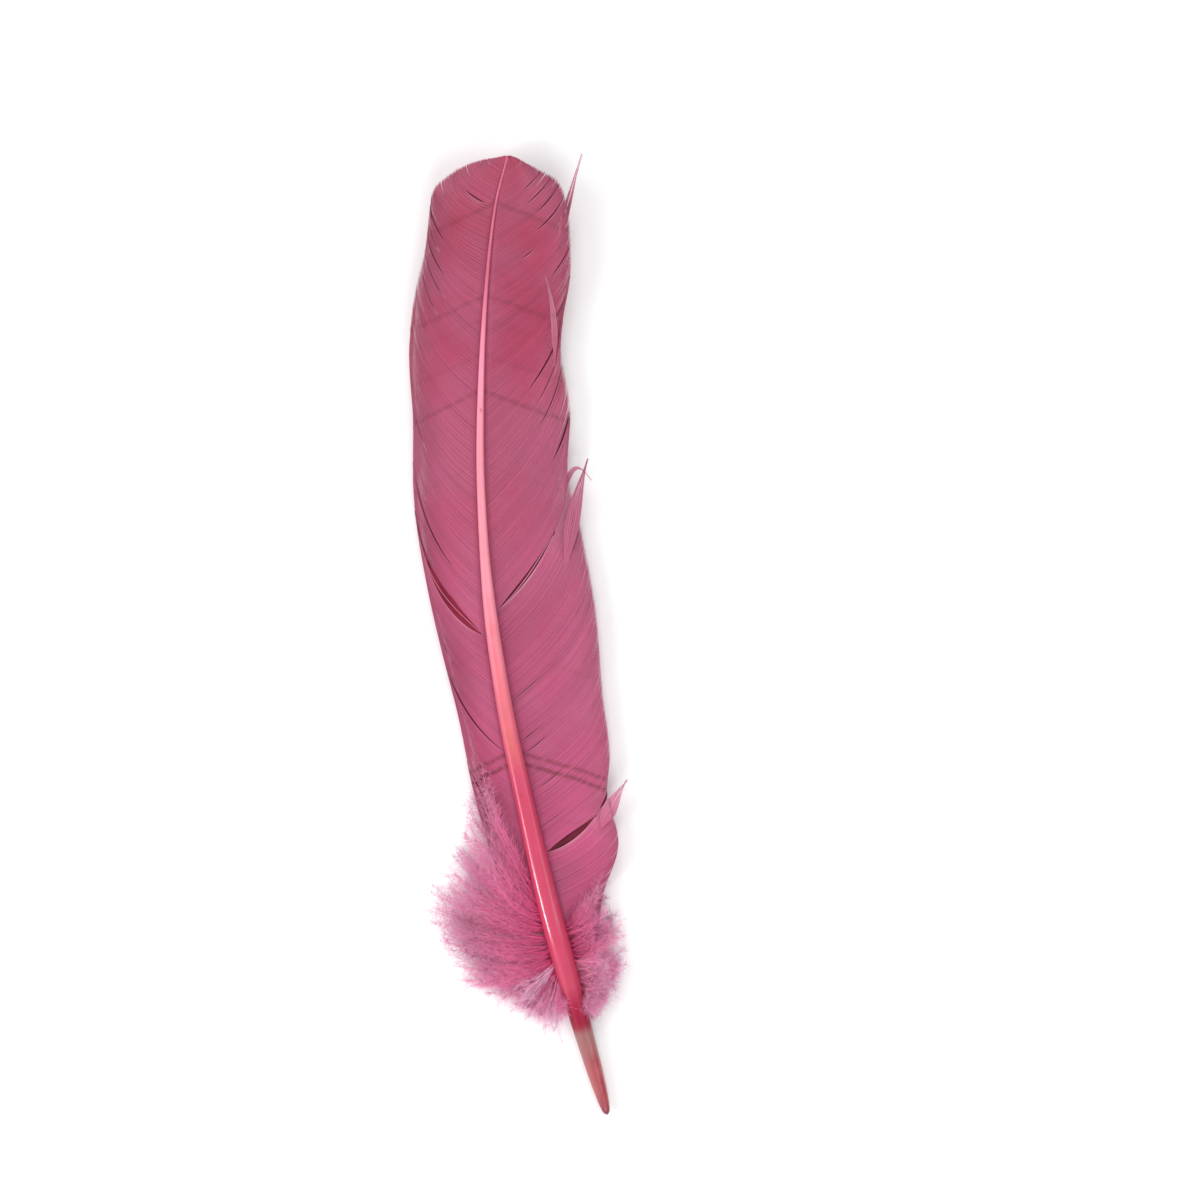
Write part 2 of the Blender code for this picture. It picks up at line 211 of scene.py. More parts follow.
def quillHeight(y):
    # The axis lies one radius above the surface, and runs out level towards the narrow lower end.
    resting = smoothAt(quillWidths, 1, np.maximum(y, quillRestsFrom)) / 2
    towardEnd = np.clip(1 - y / quillRestsFrom, 0, None)
    return resting + (quillEndHeight - resting) * towardEnd**2 + tipRise(y)


def vaneAt(side, root, along):
    # A barb is a quadratic curve in the plan: it leaves the quill aside, and sweeps up to run beside it.
    # In height it drops as a parabola to the surface, then curls up as a power of what is left.
    width, reach = smoothAt(barbRows[side], 1, root), smoothAt(barbRows[side], 2, root)
    swell, finish = 2 * along * (1 - along), along**2
    aside = swell * vane["bulgeAside"] * width + finish * width
    forward = swell * np.minimum(vane["bulgeForward"] * width, vane["bulgeLimit"] * reach) + finish * reach
    y = root + forward
    radius = smoothAt(quillWidths, 1, root) / 2
    low = vane["height"]
    atQuill = np.maximum(low, quillHeight(root) - tipRise(root) - vane["sitsOnQuill"] * radius)
    dip = np.clip(1 - along / vane["touchesAt"], 0, None)
    curl = np.clip((along - vane["touchesAt"]) / (1 - vane["touchesAt"]), 0, None)
    lift = vane["edgeLift"][side] * np.minimum(1, width / vane["fullLiftWidth"])
    z = low + (atQuill - low) * dip**2 + lift * curl ** vane["curlPower"] + tipRise(y)
    return np.stack([quillAside(y) + side * aside, y, z], axis=-1)


def inFrame(points):
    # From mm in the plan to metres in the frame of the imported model.
    return (points + np.array([*feather["planShift"], 0.0])) * mm


skyward = np.array([0.0, 0.0, 1.0])


def unit(vectors):
    return vectors / np.maximum(np.linalg.norm(vectors, axis=-1, keepdims=True), 1e-9)


def meshPiece(name, points, faces, values=None):
    # Arrays of corners and of faces (a list, one array for each number of sides) straight into a mesh.
    mesh = bpy.data.meshes.new(name)
    mesh.vertices.add(len(points))
    mesh.vertices.foreach_set("co", inFrame(points).astype(np.float32).ravel())
    corners = np.concatenate([f.ravel() for f in faces]).astype(np.int32)
    sizes = np.concatenate([np.full(len(f), f.shape[1]) for f in faces])
    starts = np.concatenate([[0], np.cumsum(sizes)[:-1]]).astype(np.int32)
    mesh.loops.add(len(corners))
    mesh.loops.foreach_set("vertex_index", corners)
    mesh.polygons.add(len(starts))
    mesh.polygons.foreach_set("loop_start", starts)
    mesh.update(calc_edges=True)
    for key, array in (values or {}).items():
        layer = mesh.attributes.new(key, "FLOAT", "POINT")
        layer.data.foreach_set("value", np.ascontiguousarray(array, np.float32).ravel())
    mesh.validate()
    mesh.shade_smooth()
    piece = bpy.data.objects.new(name, mesh)
    scene.collection.objects.link(piece)
    return piece


def tubeFaces(count, rings, sides):
    # Corner numbers of many tubes at once, wound to face out: quads between rings, and a cap at both ends.
    ring = np.arange(rings - 1)[:, None]
    turn = np.arange(sides)[None, :]
    a = ring * sides + turn
    b = ring * sides + (turn + 1) % sides
    wall = np.stack([a, a + sides, b + sides, b], axis=-1).reshape(-1, 4)
    first = np.arange(sides)[None, :]
    last = ((rings - 1) * sides + np.arange(sides)[::-1])[None, :]
    shift = (np.arange(count) * rings * sides)[:, None, None]
    caps = np.concatenate([first, last])
    return (wall[None] + shift).reshape(-1, 4), (caps[None] + shift).reshape(-1, sides)


def tubes(paths, radii, sides):
    # A round section carried along each path. paths is tubes x rings x 3, radii is tubes x rings.
    heading = unit(np.gradient(paths, axis=1))
    across = unit(np.cross(heading, skyward) + 1e-6)
    up = np.cross(across, heading)
    angle = 2 * np.pi * np.arange(sides) / sides
    ring = (
        np.cos(angle)[None, None, :, None] * across[:, :, None, :]
        + np.sin(angle)[None, None, :, None] * up[:, :, None, :]
    )
    points = paths[:, :, None, :] + radii[:, :, None, None] * ring
    walls, caps = tubeFaces(paths.shape[0], paths.shape[1], sides)
    return points.reshape(-1, 3), [walls, caps]


# Shader parts

def node(tree, kind, **settings):
    made = tree.nodes.new(kind)
    for key, value in settings.items():
        setattr(made, key, value)
    return made


def mathNode(tree, operation, first, second=None, third=None):
    made = node(tree, "ShaderNodeMath", operation=operation)
    for socket, value in zip(made.inputs, (first, second, third)):
        if value is None:
            continue
        if isinstance(value, (int, float)):
            socket.default_value = value
        else:
            tree.links.new(value, socket)
    return made.outputs[0]


def mixColour(tree, amount, first, second, blend="MIX"):
    made = node(tree, "ShaderNodeMix", data_type="RGBA", blend_type=blend)
    for socket, value in ((made.inputs[0], amount), (made.inputs[6], first), (made.inputs[7], second)):
        if isinstance(value, (int, float)):
            socket.default_value = value
        elif isinstance(value, tuple):
            socket.default_value = (*value, 1.0)
        else:
            tree.links.new(value, socket)
    return made.outputs[2]


def rampNode(tree, source, stops):
    made = node(tree, "ShaderNodeValToRGB")
    elements = made.color_ramp.elements
    while len(elements) < len(stops):
        elements.new(0.5)
    for element, (place, colour) in zip(elements, stops):
        element.position = place
        element.color = (*colour, 1.0) if isinstance(colour, tuple) else (colour, colour, colour, 1.0)
    tree.links.new(source, made.inputs[0])
    return made.outputs[0]


def noiseNode(tree, vector, scale, detail=3.0, roughness=0.55):
    made = node(tree, "ShaderNodeTexNoise")
    made.inputs["Scale"].default_value = scale
    made.inputs["Detail"].default_value = detail
    made.inputs["Roughness"].default_value = roughness
    tree.links.new(vector, made.inputs["Vector"])
    return made.outputs["Fac"]


def attribute(tree, name):
    return node(tree, "ShaderNodeAttribute", attribute_name=name).outputs["Fac"]


def combine(tree, x, y, z):
    made = node(tree, "ShaderNodeCombineXYZ")
    for socket, value in zip(made.inputs, (x, y, z)):
        if isinstance(value, (int, float)):
            socket.default_value = value
        else:
            tree.links.new(value, socket)
    return made.outputs[0]


def newMaterial(name, roughness, **sockets):
    made = bpy.data.materials.new(name)
    made.use_nodes = True
    shader = made.node_tree.nodes["Principled BSDF"]
    shader.inputs["Roughness"].default_value = roughness
    shader.inputs["Metallic"].default_value = 0.0
    for key, value in sockets.items():
        shader.inputs[key.replace("_", " ")].default_value = value
    return made, made.node_tree, shader


def dyeGroup():
    # Uneven dye: soft blotches and fine specks, as a factor on a colour's brightness and one on its warmth.
    group = bpy.data.node_groups.new("unevenDye", "ShaderNodeTree")
    group.interface.new_socket("Size", in_out="INPUT", socket_type="NodeSocketFloat")
    group.interface.new_socket("Strength", in_out="INPUT", socket_type="NodeSocketFloat")
    group.interface.new_socket("Light", in_out="OUTPUT", socket_type="NodeSocketFloat")
    group.interface.new_socket("Warm", in_out="OUTPUT", socket_type="NodeSocketFloat")
    entry, leave = node(group, "NodeGroupInput"), node(group, "NodeGroupOutput")
    place = node(group, "ShaderNodeTexCoord").outputs["Object"]
    values = []
    for shift, detail in ((0.0, 4.0), (3.7, 2.0)):
        moved = node(group, "ShaderNodeMapping")
        moved.inputs["Location"].default_value = (shift, shift, shift)
        group.links.new(place, moved.inputs["Vector"])
        noise = node(group, "ShaderNodeTexNoise")
        noise.inputs["Detail"].default_value = detail
        group.links.new(moved.outputs[0], noise.inputs["Vector"])
        group.links.new(entry.outputs["Size"], noise.inputs["Scale"])
        values.append(noise.outputs["Fac"])
    centred = mathNode(group, "SUBTRACT", values[0], 0.5)
    light = mathNode(group, "MULTIPLY_ADD", centred, entry.outputs["Strength"], 1.0)
    group.links.new(light, leave.inputs["Light"])
    group.links.new(values[1], leave.inputs["Warm"])
    return group


unevenDye = dyeGroup()


def placeDye(tree, size, strength):
    made = node(tree, "ShaderNodeGroup", node_tree=unevenDye)
    made.inputs["Size"].default_value = size
    made.inputs["Strength"].default_value = strength
    return made.outputs["Light"], made.outputs["Warm"]


vaneColours = {
    "upTheVane": (
        (0.15, (0.54, 0.098, 0.232)), (0.27, (0.55, 0.094, 0.218)), (0.42, (0.50, 0.094, 0.202)),
        (0.50, (0.47, 0.084, 0.182)), (0.65, (0.48, 0.086, 0.172)), (0.78, (0.43, 0.056, 0.126)),
        (0.90, (0.41, 0.050, 0.110)), (1.00, (0.42, 0.058, 0.118)),
    ),
    "lilac": (0.44, 0.120, 0.220),
    "edge": (0.46, 0.150, 0.220),
    "bar": (0.20, 0.030, 0.045),
    "shaded": (0.30, 0.010, 0.045),
    "paintedCreviceShade": (0.10, 0.002, 0.015),
    "paintedHighlight": (0.80, 0.40, 0.53),
}


def growthBarMask(tree, level):
    # A peak for each bar over the distance up the quill, on a chain of two colour ramps.
    total, half = 0.0, len(growthBars) // 2 + 1
    share = mathNode(tree, "DIVIDE", level, feather["length"])
    for bars in (growthBars[:half], growthBars[half:]):
        stops = [(0.0, 0.0)]
        for place, strength in bars:
            for aside, shows in ((-barHalf, 0.0), (0.0, float(strength)), (barHalf, 0.0)):
                stops.append(((place + aside) / feather["length"], shows))
        total = mathNode(tree, "ADD", rampNode(tree, share, stops), total)
    return total


def barbNoise(tree, root, along, acrossScale, alongScale, shift, detail=2.0):
    # Noise that is stretched along the barbs, because it is read by barb root and share of the barb.
    x = mathNode(tree, "MULTIPLY", root, acrossScale)
    y = mathNode(tree, "MULTIPLY", along, alongScale)
    return noiseNode(tree, combine(tree, x, y, shift), 1.0, detail)


def addCentred(tree, value, amount, total):
    return mathNode(tree, "MULTIPLY_ADD", mathNode(tree, "SUBTRACT", value, 0.5), amount, total)


def vaneMaterial():
    made, tree, shader = newMaterial(
        "dyedVane", 0.6, Specular_IOR_Level=0.3, Sheen_Weight=0.1, Sheen_Roughness=0.5,
    )
    root, along = attribute(tree, "root"), attribute(tree, "along")
    tone, level = attribute(tree, "tone"), attribute(tree, "level")
    paintedCreviceShade, paintedHighlight = attribute(tree, "paintedCreviceShade"), attribute(tree, "paintedHighlight")
    light, warm = placeDye(tree, 45.0, 0.20)
    base = rampNode(tree, mathNode(tree, "DIVIDE", root, feather["length"]), vaneColours["upTheVane"])
    # Towards the edges a painted sheen; in soft patches the dye took less.
    patch = rampNode(tree, warm, ((0.42, 0.40), (0.62, 0.0)))
    base = mixColour(tree, patch, base, vaneColours["lilac"])
    edge = rampNode(tree, along, ((0.45, 0.0), (0.97, 0.85)))
    edge = mathNode(tree, "MULTIPLY", edge, barbNoise(tree, root, along, 0.05, 1.0, 3.0))
    edge = mathNode(tree, "MULTIPLY", edge, attribute(tree, "edgeSheenStrength"))
    base = mixColour(tree, edge, base, vaneColours["edge"])
    # Streaks that follow the barbs
    calm = rampNode(tree, mathNode(tree, "DIVIDE", root, feather["length"]), ((0.82, 0.26), (0.94, 0.10)))
    bright = addCentred(tree, barbNoise(tree, root, along, 1.1, 2.2, 0.0, 3.0), calm, light)
    bright = addCentred(tree, barbNoise(tree, root, along, 0.25, 1.0, 5.0), 0.22, bright)
    # tone also carries the painted shade at the right vane's edge.
    bright = addCentred(tree, tone, 0.16, bright)
    # Growth bars: thin broken bands across the barbs
    bent = addCentred(tree, barbNoise(tree, root, along, 0.10, 2.0, 2.0), 1.8, level)
    dashes = rampNode(tree, barbNoise(tree, root, along, 0.9, 2.0, 9.0), ((0.33, 0.25), (0.50, 1.0)))
    broken = mathNode(tree, "MULTIPLY", growthBarMask(tree, bent), dashes)
    base = mixColour(tree, mathNode(tree, "MULTIPLY", broken, 0.85), base, vaneColours["bar"])
    # Painted highlight along splits, on loose barbs and on the stray barbs.
    base = mixColour(tree, mathNode(tree, "MULTIPLY", paintedHighlight, 0.6), base, vaneColours["paintedHighlight"])
    # Painted shade: the barbs hidden under a split are coloured dark, from shaded to deep.
    deep = rampNode(tree, paintedCreviceShade, ((0.5, vaneColours["shaded"]), (1.0, vaneColours["paintedCreviceShade"])))
    base = mixColour(tree, rampNode(tree, paintedCreviceShade, ((0.0, 0.0), (0.4, 1.0))), base, deep)
    shade = mixColour(tree, 1.0, base, combineGrey(tree, bright), "MULTIPLY")
    tree.links.new(shade, shader.inputs["Base Color"])
    return made


def combineGrey(tree, value):
    made = node(tree, "ShaderNodeCombineColor")
    for socket in made.inputs[:3]:
        tree.links.new(value, socket)
    return made.outputs[0]


quillColours = {
    "end": (0.26, 0.020, 0.050),
    "crimson": (0.33, 0.012, 0.036),
    "stained": (0.40, 0.095, 0.105),
    "bare": (0.31, 0.118, 0.118),
    "collar": (0.28, 0.003, 0.030),
    "dark": (0.33, 0.004, 0.042),
    "low": (0.51, 0.052, 0.110),
    "hot": (0.56, 0.045, 0.112),
    "rosy": (0.68, 0.130, 0.200),
    "pale": (0.81, 0.275, 0.355),
    "upper": (0.85, 0.285, 0.400),
    "thin": (0.60, 0.132, 0.215),
    "orange": (0.64, 0.138, 0.130),
    "peach": (0.77, 0.170, 0.195),
    "nick": (0.34, 0.040, 0.060),
}


def quillMaterial():
    made, tree, shader = newMaterial(
        "dyedQuill", 0.45, Specular_IOR_Level=0.28, Coat_Roughness=0.12,
        Subsurface_Weight=0.12, Subsurface_Scale=0.002,
    )
    shader.inputs["Subsurface Radius"].default_value = (1.0, 0.4, 0.3)
    up, core, nick = attribute(tree, "up"), attribute(tree, "core"), attribute(tree, "nick")
    light, warm = placeDye(tree, 160.0, 0.2)
    colour = quillColours
    length = rampNode(tree, up, (
        (0.0, colour["end"]), (0.022, colour["stained"]), (0.05, colour["stained"]), (0.068, colour["bare"]),
        (0.086, colour["bare"]), (0.095, colour["collar"]), (0.116, colour["dark"]), (0.138, colour["low"]),
        (0.21, colour["hot"]), (0.34, colour["hot"]), (0.41, colour["rosy"]), (0.53, colour["pale"]),
        (0.70, colour["pale"]), (0.79, colour["upper"]), (0.88, colour["thin"]), (1.0, colour["thin"]),
    ))
    groove = rampNode(tree, up, (
        (0.0, colour["end"]), (0.015, colour["crimson"]), (0.056, colour["crimson"]),
        (0.070, colour["stained"]), (0.080, colour["bare"]), (0.086, colour["bare"]),
        (0.095, colour["collar"]), (0.116, colour["dark"]), (0.138, colour["low"]), (0.21, colour["hot"]),
        (0.36, colour["hot"]), (0.39, colour["orange"]), (0.46, colour["peach"]), (0.515, colour["peach"]),
        (0.565, colour["pale"]), (0.70, colour["pale"]), (0.79, colour["upper"]), (0.88, colour["thin"]),
    ))
    # Scratches and stains run along the barrel.
    stretched = node(tree, "ShaderNodeMapping")
    stretched.inputs["Scale"].default_value = (1500.0, 60.0, 1500.0)
    tree.links.new(node(tree, "ShaderNodeTexCoord").outputs["Object"], stretched.inputs["Vector"])
    scratch = noiseNode(tree, stretched.outputs[0], 1.0, 3.0)
    light = addCentred(tree, scratch, 0.22, light)
    patch = rampNode(tree, warm, ((0.35, 0.35), (0.6, 1.0)))
    patch = mathNode(tree, "MULTIPLY", patch, rampNode(tree, scratch, ((0.38, 0.55), (0.56, 1.0))))
    base = mixColour(tree, mathNode(tree, "MULTIPLY", core, patch), length, groove)
    base = mixColour(tree, nick, base, colour["nick"])
    shade = mixColour(tree, 1.0, base, combineGrey(tree, light), "MULTIPLY")
    tree.links.new(shade, shader.inputs["Base Color"])
    # Glossy at the bare end and where the barrel is thickest, dull between them.
    gloss = rampNode(tree, up, (
        (0.0, 0.6), (0.085, 0.6), (0.095, 0.05), (0.18, 0.05), (0.21, 0.9), (0.35, 0.9), (0.40, 0.15),
        (1.0, 0.1),
    ))
    tree.links.new(gloss, shader.inputs["Coat Weight"])
    return made


downColours = {
    "root": (0.68, 0.034, 0.185),
    "middle": (0.97, 0.25, 0.50),
    "tip": (0.82, 0.43, 0.62),
    "pale": (0.90, 0.56, 0.74),
}


def downMaterial():
    made, tree, shader = newMaterial(
        "dyedDown", 0.6, Specular_IOR_Level=0.3, Sheen_Weight=0.2, Sheen_Roughness=0.4,
    )
    out, tone, pale = attribute(tree, "out"), attribute(tree, "tone"), attribute(tree, "pale")
    light = placeDye(tree, 90.0, 0.3)[0]
    colour = downColours
    base = rampNode(tree, out, ((0.0, colour["root"]), (0.45, colour["middle"]), (1.0, colour["tip"])))
    base = mixColour(tree, pale, base, colour["pale"])
    shade = mixColour(tree, 1.0, base, combineGrey(tree, addCentred(tree, tone, 0.4, light)), "MULTIPLY")
    tree.links.new(shade, shader.inputs["Base Color"])
    return made


materials = {"vane": vaneMaterial(), "quill": quillMaterial(), "down": downMaterial()}
print("materials made")


def dress(piece, look):
    piece.data.materials.append(materials[look])
    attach(piece, "root")
    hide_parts("feather")
    print("made", piece.name, len(piece.data.polygons), "faces")


# The vanes, barb by barb

def bunches(side, roots, chance):
    # Barbs cling together in bunches a few mm wide. Gives each barb its bunch's middle, how hard it draws in,
    # and how much longer or higher its bunch is than the others.
    edges = [roots[0]]
    while edges[-1] < roots[-1]:
        edges.append(edges[-1] + chance.uniform(*bunch["width"]))
    cuts = [s[0] for s in splits[side] if s[2] > 1]
    edges = np.unique(np.concatenate([edges, cuts]))
    which = np.clip(np.searchsorted(edges, roots, side="right") - 1, 0, len(edges) - 2)
    middle = (edges[which] + edges[which + 1]) / 2
    pull = chance.uniform(0.0, bunch["pull"], len(edges))[which]
    for start, end, amount in raggedEdges[side]:
        inside = (middle > start) & (middle < end)
        drawn = amount * chance.uniform(*bunch["raggedPull"], len(edges))[which]
        pull = np.where(inside, pull + drawn, pull)
    longer = chance.normal(0, 1, len(edges))[which]
    return middle, pull, longer


def acrossBarbs(side, roots, along):
    # Square to the barb in the sheet and square to the sheet, from how the formula changes along and across.
    plain = vaneAt(side, roots, along)
    heading = unit(np.gradient(plain, axis=1))
    upRoot = vaneAt(side, roots + 0.5, along) - plain
    sheetUp = unit(np.cross(heading, upRoot)) * (-side)
    across = unit(np.cross(sheetUp, heading)) * (-side)
    room = 2 * np.abs(np.sum(upRoot * across, axis=-1)) * vane["pitch"]
    return across, sheetUp, room


hidden = {
    "pitch": 0.28,
    "to": 0.97,                 # share of the barb's length
    "lowest": 0.17,
    "margin": 0.25,
    "sag": 0.45,
    "under": 0.05,
    "half": 0.30,
    "slim": 0.5,
    "ends": 0.06,
    "tones": (0.2, 0.8),
    "shadow": (0.8, 1.0),
    "wideGap": 2.6,
    "wideShadow": 0.6,
}


def hiddenBarbs(side, split, chance):
    # Where the vane gapes, the barbs that slipped under it still lie there in shadow, spread over the gap,
    # and are coloured dark as painted shade.
    root, begin, end, gap = split[:4]
    count = int(math.ceil(gap / hidden["pitch"])) + 1
    share = np.linspace(0, 1, vane["steps"])
    along = np.broadcast_to(begin + (min(end, hidden["to"]) - begin) * share, (count, vane["steps"]))
    roots = np.full(along.shape, float(root))
    across, sheetUp = acrossBarbs(side, roots, along)[:2]
    inside = np.clip((along - begin) / (end - begin), 0, 1)
    width = gap * np.sin(np.pi * inside ** vane["gapeLeans"]) + hidden["margin"]
    place = np.linspace(-0.5, 0.5, count)[:, None] * np.ones(along.shape)
    path = vaneAt(side, roots, along) + across * (width * place)[..., None]
    sunk = path[..., 2] - hidden["sag"] * np.sin(np.pi * share) ** 0.5 - hidden["under"]
    path[..., 2] = np.maximum(sunk, hidden["lowest"] + tipRise(path[..., 1]))
    ends = hidden["ends"]
    half = hidden["half"] * np.sin(np.pi * (ends + (1 - 2 * ends) * share)) * np.ones(along.shape)
    slim = np.full(along.shape, hidden["slim"])
    tone = chance.uniform(*hidden["tones"], count)
    # A wide gap lets more light in, so less shade is painted on its barbs.
    deep = 1.0 if gap < hidden["wideGap"] else hidden["wideShadow"]
    paintedCreviceShade = deep * chance.uniform(*hidden["shadow"], count)[:, None]
    return path, across, sheetUp, half, slim, roots, along, tone, 0.0, paintedCreviceShade


loose = {"rise": 0.35, "half": 0.10, "ends": 0.05, "slim": 0.7}


def looseBarb(root, begin, end, fromSide, toSide, side):
    # One barb that crosses a split in a straight slant, with a painted highlight.
    share = np.linspace(0, 1, vane["steps"])[None, :]
    along = begin + (end - begin) * share
    roots = np.full(along.shape, float(root))
    across, sheetUp = acrossBarbs(side, roots, along)[:2]
    slant = (fromSide + (toSide - fromSide) * share) * np.sin(np.pi * share) ** 0.5
    path = vaneAt(side, roots, along) + across * slant[..., None]
    path[..., 2] += loose["rise"] * np.sin(np.pi * share)
    half = loose["half"] * np.sin(np.pi * (loose["ends"] + (1 - 2 * loose["ends"]) * share)) ** 0.5
    slim = np.full(along.shape, loose["slim"])
    return path, across, sheetUp, half, slim, roots, along, np.ones(1), 1.0, 0.0


fan = {
    "barbs": 15,
    "angle": 62,
    "scatter": 0.02,
    "back": 1.2,                # how far below the quill's tip the ribs start
    "root": 299,
    "sunk": 0.05,
    "length": 0.75,
    "longerAside": 0.15,
    "rise": 0.1,
    "along": 0.6,
    "half": (0.04, 0.22),
    "slim": 0.6,
    "tones": (0.3, 0.7),
}


def tipFan(chance):
    # The last barbs spread from the quill's end like the ribs of a fan, and close the tip's round outline.
    angle = np.radians(np.linspace(-fan["angle"], fan["angle"], fan["barbs"]))
    angle = angle + fan["scatter"] * chance.normal(0, 1, fan["barbs"])
    share = np.linspace(0, 1, vane["steps"])
    base = feather["length"] - fan["back"]
    lean = np.arctan2(quillAside(feather["length"]) - quillAside(base), feather["length"] - base)
    heading = np.stack([np.sin(angle + lean), np.cos(angle + lean), 0 * angle], axis=-1)[:, None, :]
    across = np.stack([np.cos(angle + lean), -np.sin(angle + lean), 0 * angle], axis=-1)[:, None, :]
    start = np.array([quillAside(base), base, vane["height"] + tipRise(base) - fan["sunk"]])
    length = fan["length"] + fan["longerAside"] * np.abs(angle)
    path = start + heading * (length[:, None] * share)[..., None]
    path[..., 2] += fan["rise"] * share
    across = np.broadcast_to(across, path.shape)
    sheetUp = np.broadcast_to(-skyward, path.shape)
    along = np.broadcast_to(fan["along"] + (1 - fan["along"]) * share, path.shape[:2])
    narrow, wider = fan["half"]
    half = narrow + wider * share * np.ones(along.shape) * (1 - 0.6 * ramp(share, 0.9, 1.0))
    slim, roots = np.full(along.shape, fan["slim"]), np.full(along.shape, fan["root"])
    tone = chance.uniform(*fan["tones"], len(angle))
    return path, across, sheetUp, half, slim, roots, along, tone, 0.0, 0.0


def joinStrips(side, strips):
    # The four corners of every strip's section, ring after ring, and the values that the material reads.
    points, walls, caps, total = [], [], [], 0
    values = {key: [] for key in ("root", "along", "tone", "level", "paintedHighlight", "paintedCreviceShade", "edgeSheenStrength")}
    for path, across, sheetUp, half, slim, roots, along, tone, paintedHighlight, paintedCreviceShade in strips:
        shingle = vane["shingle"] * slim
        corners = [
            path - across * half[..., None] - sheetUp * shingle[..., None],
            path + sheetUp * (vane["ridge"] * slim)[..., None],
            path + across * half[..., None] + sheetUp * shingle[..., None],
            path - sheetUp * (vane["keel"] * slim)[..., None],
        ]
        corners = corners[::-1] if side > 0 else corners
        section = np.stack(corners, axis=2)
        section[..., 2] = np.maximum(section[..., 2], vane["lowest"])
        points.append(section.reshape(-1, 3))
        wall, cap = tubeFaces(path.shape[0], path.shape[1], 4)
        walls.append(wall + total)
        caps.append(cap + total)
        total += section.size // 3
        aside = np.abs(path[..., 0] - quillAside(path[..., 1]))
        level = path[..., 1] + vane["barSlope"][side] * aside
        # tone is random per barb, less a painted shade towards the right vane's edge.
        for key, value in (
            ("root", roots), ("along", along),
            ("tone", tone[:, None] - vane["edgeShade"][side] * ramp(along, 0.55, 1.0)),
            ("level", level), ("paintedHighlight", paintedHighlight), ("paintedCreviceShade", paintedCreviceShade), ("edgeSheenStrength", vane["edgeSheenStrength"][side]),
        ):
            values[key].append(np.repeat(np.broadcast_to(value, along.shape).ravel(), 4))
    values = {key: np.concatenate(parts) for key, parts in values.items()}
    return np.concatenate(points), [np.concatenate(walls), np.concatenate(caps)], values


